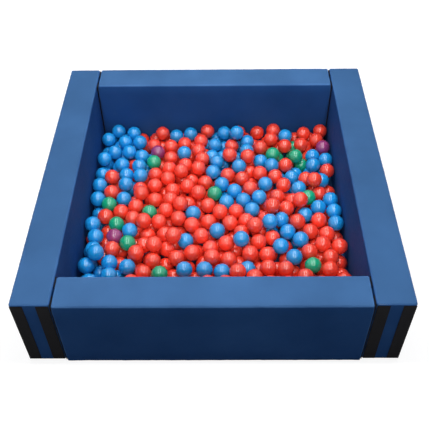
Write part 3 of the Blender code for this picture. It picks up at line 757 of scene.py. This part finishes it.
# %% Zips and sliders
ZIP_TAPE_HALF = 0.017
ZIP_TAPE_THICKNESS = 0.0008
TEETH_HALF = 0.003
TEETH_HEIGHT = 0.0019
TEETH_OUT_SHARES = (0.0, 0.12, 0.3, 0.85, 1.0)
TEETH_RISE_SHARES = (0.45, 0.6, 1.0, 0.9, 0.0)
TOOTH_MEAN_SHARE, TOOTH_SWING_SHARE = 0.6, 0.4
TOOTH_PITCH = 0.005
STEPS_PER_TOOTH = 4


def zip_skin(low, high):
    """A flat tape between two corners of a box lying along X. Its underside's depth near the middle line
    is height * (mean + swing * cos(tau * x / pitch)), with the cosine's sign swapped across the line,
    times a share that is read off a table of distances from the line."""
    tape_low = high[2] - ZIP_TAPE_THICKNESS
    steps = np.arange(round((high[0] - low[0]) / TOOTH_PITCH * STEPS_PER_TOOTH) + 1)
    stations = steps / STEPS_PER_TOOTH * TOOTH_PITCH + low[0]
    stations[-1] = high[0]
    across = TEETH_HALF * np.array(TEETH_OUT_SHARES[1:])
    across = np.concatenate([[-ZIP_TAPE_HALF], -across[::-1], [0], across, [ZIP_TAPE_HALF]])
    points, quads = box_skin([stations, across, np.array([tape_low, high[2]])])
    row = np.sign(points[:, 1])
    tooth = TOOTH_MEAN_SHARE + TOOTH_SWING_SHARE * row * np.cos(math.tau * points[:, 0] / TOOTH_PITCH)
    rise = np.interp(np.abs(points[:, 1]) / TEETH_HALF, TEETH_OUT_SHARES, TEETH_RISE_SHARES)
    points[:, 2] -= np.where(points[:, 2] < (tape_low + high[2]) / 2, rise * tooth * TEETH_HEIGHT, 0)
    return points, quads


for name, (turn, kind) in SECTIONS.items():
    corners = np.array(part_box(name + "_zip"), float)
    middle = np.array([corners[:, 0].mean(), corners[:, 1].mean(), 0])
    size = corners[1] - corners[0]
    if turn % 180:
        size = size[[1, 0, 2]]
    low = np.array([-size[0] / 2, -size[1] / 2, corners[0, 2]])
    high = np.array([size[0] / 2, size[1] / 2, corners[1, 2]])
    points, quads = zip_skin(low, high)
    piece = make_piece(name + "_zip_tape_and_teeth", turn_about_z(points, turn) + middle, quads, zip_tape,
                       name + "_zip")
    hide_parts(name + "_zip")
    for slot in nodes[name + "_zip_slider"].material_slots:
        slot.material = slider_metal
    print(name, "zip:", len(piece.data.vertices), "points")

# %% [markdown]
# ## Hook-and-loop strips
#
# Each strip is a woven tape sewn down all round. The stitching sinks a line 3.5 mm inside its border and
# the nap stands up a little between. The skin of a box serves here as well, in miniature.

# %% Strips
STITCH_INSET = 0.0035
STITCH_HALF = 0.0009
STITCH_DEPTH = 0.0007
STITCH_MEAN_SHARE, STITCH_SWING_SHARE = 0.6, 0.4
STITCH_PITCH = 0.0045
STRIP_EDGE = 0.0007
STRIP_EDGE_STEPS = 2
CELL_ALONG, CELL_ACROSS = 0.0035, 0.006


def strip_skin(low, high, thin):
    """A thin slab between two corners, with the stitch line sunk into the faces across its thin axis: the
    depth varies as a cosine along the line, one wave a stitch."""
    wide = [axis for axis in range(3) if axis != thin]
    stitch = STITCH_HALF * np.array([-1, 0, 1])
    lines = []
    for axis in range(3):
        extra = np.concatenate([low[axis] + STITCH_INSET + stitch, high[axis] - STITCH_INSET + stitch])
        lines.append(side_lines(low[axis], high[axis], STRIP_EDGE, CELL_ALONG if axis == 2 else CELL_ACROSS,
                                STRIP_EDGE_STEPS, () if axis == thin else extra))
    flat, quads = box_skin(lines)
    points, outward = round_edges(flat, low, high, STRIP_EDGE)
    away = np.minimum(flat - low, high - flat)
    border = np.minimum(away[:, wide[0]], away[:, wide[1]])
    line = (1 - np.abs(border - STITCH_INSET) / STITCH_HALF).clip(0, 1)
    along = flat[:, wide[0]] + flat[:, wide[1]]
    beat = STITCH_MEAN_SHARE + STITCH_SWING_SHARE * np.cos(math.tau * along / STITCH_PITCH)
    points[:, thin] -= outward[:, thin] * line * beat * STITCH_DEPTH
    return points, quads


strips = [name for name in sorted(nodes) if "_strip_" in name]
for name in strips:
    low, high = (np.array(v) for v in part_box(name))
    points, quads = strip_skin(low, high, int((high - low).argmin()))
    tape = loop_tape if "loop" in name or "end_strip" in name else hook_tape
    piece = make_piece(name + "_tape", points, quads, tape, name)
    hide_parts(name)
print(len(strips), "strips,", len(piece.data.vertices), "points each")

# %% [markdown]
# ## Balls
#
# The solid model holds each ball as a plain icosahedron, joined to its neighbours of the same colour.
# Their middles can be read back from it: every ball has a lowest point and a highest one, and ten in two
# rings between, at known places round its middle. A point is a ball's lowest one if all the other eleven
# are there.

# %% Find the balls' middles
BALL_RADIUS = 0.0375
KEY_GRAIN = 0.0002
KEY_SHIFT = 10**5
KEY_STRIDE = 10**6


def keys_of(points):
    """Each point as one whole number, from its place (i, j, k) on a fine lattice: k plus j strides plus i
    strides of strides. The shift keeps i, j and k above 0."""
    lattice = np.rint(points / KEY_GRAIN).astype(np.int64) + KEY_SHIFT
    return (lattice[:, 0] * KEY_STRIDE + lattice[:, 1]) * KEY_STRIDE + lattice[:, 2]


def icosahedron_points():
    """Lowest, two rings of five at heights -1/sqrt(5) and 1/sqrt(5), highest."""
    ring = np.arange(5) * math.tau / 5
    high = 1 / math.sqrt(5)
    lower = np.stack([2 * high * np.cos(ring), 2 * high * np.sin(ring), np.full(5, -high)], 1)
    turned = ring + math.tau / 10
    upper = np.stack([2 * high * np.cos(turned), 2 * high * np.sin(turned), np.full(5, high)], 1)
    return np.concatenate([[[0, 0, -1]], lower, upper, [[0, 0, 1]]])


def ball_middles(node):
    """Middles of the balls in a CAD node. A point counts as there if the node has one on the same spot of
    the lattice or on one of the 26 round it. Two finds less than a radius apart are one ball."""
    co = np.empty(len(nodes[node].data.vertices) * 3, np.float32)
    nodes[node].data.vertices.foreach_get("co", co)
    points = np.unique(co.reshape(-1, 3).astype(float).round(6), axis=0)
    known = np.unique(keys_of(points))
    middles = points + [0, 0, BALL_RADIUS]
    step = np.array([-1, 0, 1])
    near = (step[:, None, None] * KEY_STRIDE**2 + step[None, :, None] * KEY_STRIDE + step).ravel()
    whole = np.ones(len(points), bool)
    for direction in icosahedron_points():
        keys = keys_of(middles + BALL_RADIUS * direction)
        whole &= np.isin(keys[:, None] + near[None, :], known).any(axis=1)
    found = middles[whole]
    return found[np.concatenate([[True], np.linalg.norm(np.diff(found, axis=0), axis=1) > BALL_RADIUS])]


ball_nodes = [name for name in sorted(nodes) if "_ball" in name]
middles = {name: ball_middles(name) for name in ball_nodes}
for name in ball_nodes:
    print(name, len(middles[name]), "balls")
print("balls in all:", sum(len(m) for m in middles.values()))

# %% [markdown]
# A fill has hundreds of balls, so each has only 54 faces: the six sides of a cube, each cut in nine and
# blown up to a ball. So few faces would bend the lamps' reflections, and therefore each point is given
# the true ball's normal.

# %% One ball, and many
BALL_CUTS = 3


def cube_ball():
    """Points and faces of a ball of radius 1: a cube whose sides have lines at tan(angle) steps, so that
    they look evenly spaced from its middle, with every point carried out or in to the ball."""
    line = np.tan(np.linspace(-math.pi / 4, math.pi / 4, BALL_CUTS + 1))
    points, quads = box_skin([line, line, line])
    return points / np.linalg.norm(points, axis=1)[:, None], quads


def turned_frames(count, chance):
    """Random rotation matrices, from random unit quaternions (w, x, y, z)."""
    q = chance.normal(size=(count, 4))
    w, x, y, z = (q / np.linalg.norm(q, axis=1)[:, None]).T
    rows = [[1 - 2 * (y * y + z * z), 2 * (x * y - w * z), 2 * (x * z + w * y)],
            [2 * (x * y + w * z), 1 - 2 * (x * x + z * z), 2 * (y * z - w * x)],
            [2 * (x * z - w * y), 2 * (y * z + w * x), 1 - 2 * (x * x + y * y)]]
    return np.array(rows).transpose(2, 0, 1)


def make_balls(name, places, colour, node, seed):
    """One mesh with a ball at each place, each turned its own way. A point's normal is its direction."""
    shape, faces = cube_ball()
    chance = np.random.default_rng(seed)
    turns = turned_frames(len(places), chance)
    local = np.broadcast_to(shape, (len(places), *shape.shape))
    normals = np.einsum("nij,pj->npi", turns, shape)
    points = places[:, None, :] + BALL_RADIUS * normals
    quads = faces[None] + (np.arange(len(places)) * len(shape))[:, None, None]
    shades = np.repeat(chance.uniform(0, 1, len(places)), len(shape))
    carried = [("ball_place", "FLOAT_VECTOR", local), ("ball_chance", "FLOAT", shades)]
    made = make_piece(name, points.reshape(-1, 3), quads.reshape(-1, 4), plastics[colour], node,
                      carried)
    made.data.normals_split_custom_set_from_vertices(normals.reshape(-1, 3).tolist())
    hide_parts(node)


# %% [markdown]
# Most balls in the mixed heap are red, and single ones of other colours lie among them. Their places are
# a short table of shares of the pit's inner half-widths, and each takes the nearest ball that nothing
# lies on.

# %% Colour the mixed balls
INNER_HALF = (0.600, 0.6045)
COVERING_REACH = 1.4 * BALL_RADIUS
MIXED_SEED, GROUP_SEED = 300, 400
STRAY_BALL_SHARES = {
    "blue": ((-0.34, 0.87), (-0.21, 0.89), (-0.26, 0.64), (-0.63, 0.47), (-0.72, 0.10), (-0.93, -0.19),
             (0.20, 0.45), (0.39, 0.55), (0.48, 0.46), (0.41, 0.25), (0.62, 0.86), (0.10, 0.05),
             (-0.16, -0.07), (0.30, -0.04), (0.68, 0.20), (0.87, 0.29), (0.92, 0.06), (0.82, -0.01),
             (0.71, -0.07), (0.93, -0.06), (0.93, -0.19), (-0.64, -0.25), (0.02, -0.25), (-0.22, -0.34),
             (0.20, -0.39), (0.50, -0.41), (0.59, -0.52), (-0.21, -0.62), (-0.07, -0.63), (0.06, -0.64),
             (0.28, -0.58), (-0.63, -0.58), (-0.89, -0.73)),
    "green": ((-0.83, 0.02), (-0.75, -0.18), (0.75, 0.09)),
    "purple": ((0.93, 0.68),),
}


def colour_mixed(places):
    """The colour of each ball in the mixed heap. A ball is covered if a higher one is close to it as seen
    from above."""
    colours = np.array(["red"] * len(places), dtype=object)
    gap = np.linalg.norm(places[:, None, :2] - places[None, :, :2], axis=2)
    covered = ((places[None, :, 2] > places[:, None, 2]) & (gap < COVERING_REACH)).any(axis=1)
    for colour, shares in STRAY_BALL_SHARES.items():
        for share in shares:
            spot = np.array(share) * INNER_HALF
            distance = np.linalg.norm(places[:, :2] - spot, axis=1)
            distance[covered | (colours != "red")] = np.inf
            colours[distance.argmin()] = colour
    return colours


mixed_colours = colour_mixed(middles["mixed_balls"])
for number, colour in enumerate(BALL_COLOURS):
    chosen = middles["mixed_balls"][mixed_colours == colour]
    make_balls(f"mixed_balls_{colour}_shells", chosen, colour, "mixed_balls", MIXED_SEED + number)
    print("mixed balls,", colour + ":", len(chosen))
for number, name in enumerate(ball_nodes):
    if name != "mixed_balls":
        make_balls(name + "_shells", middles[name], name.split("_")[0], name, GROUP_SEED + number)

# %% [markdown]
# ## The dressed size
#
# The box round the dressed pit is worked out and printed. The dressed pit may stand only a little
# proud of the solid model.

# %% Print the dressed box
low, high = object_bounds()
print("dressed box:", [round(v, 4) for v in low], [round(v, 4) for v in high])
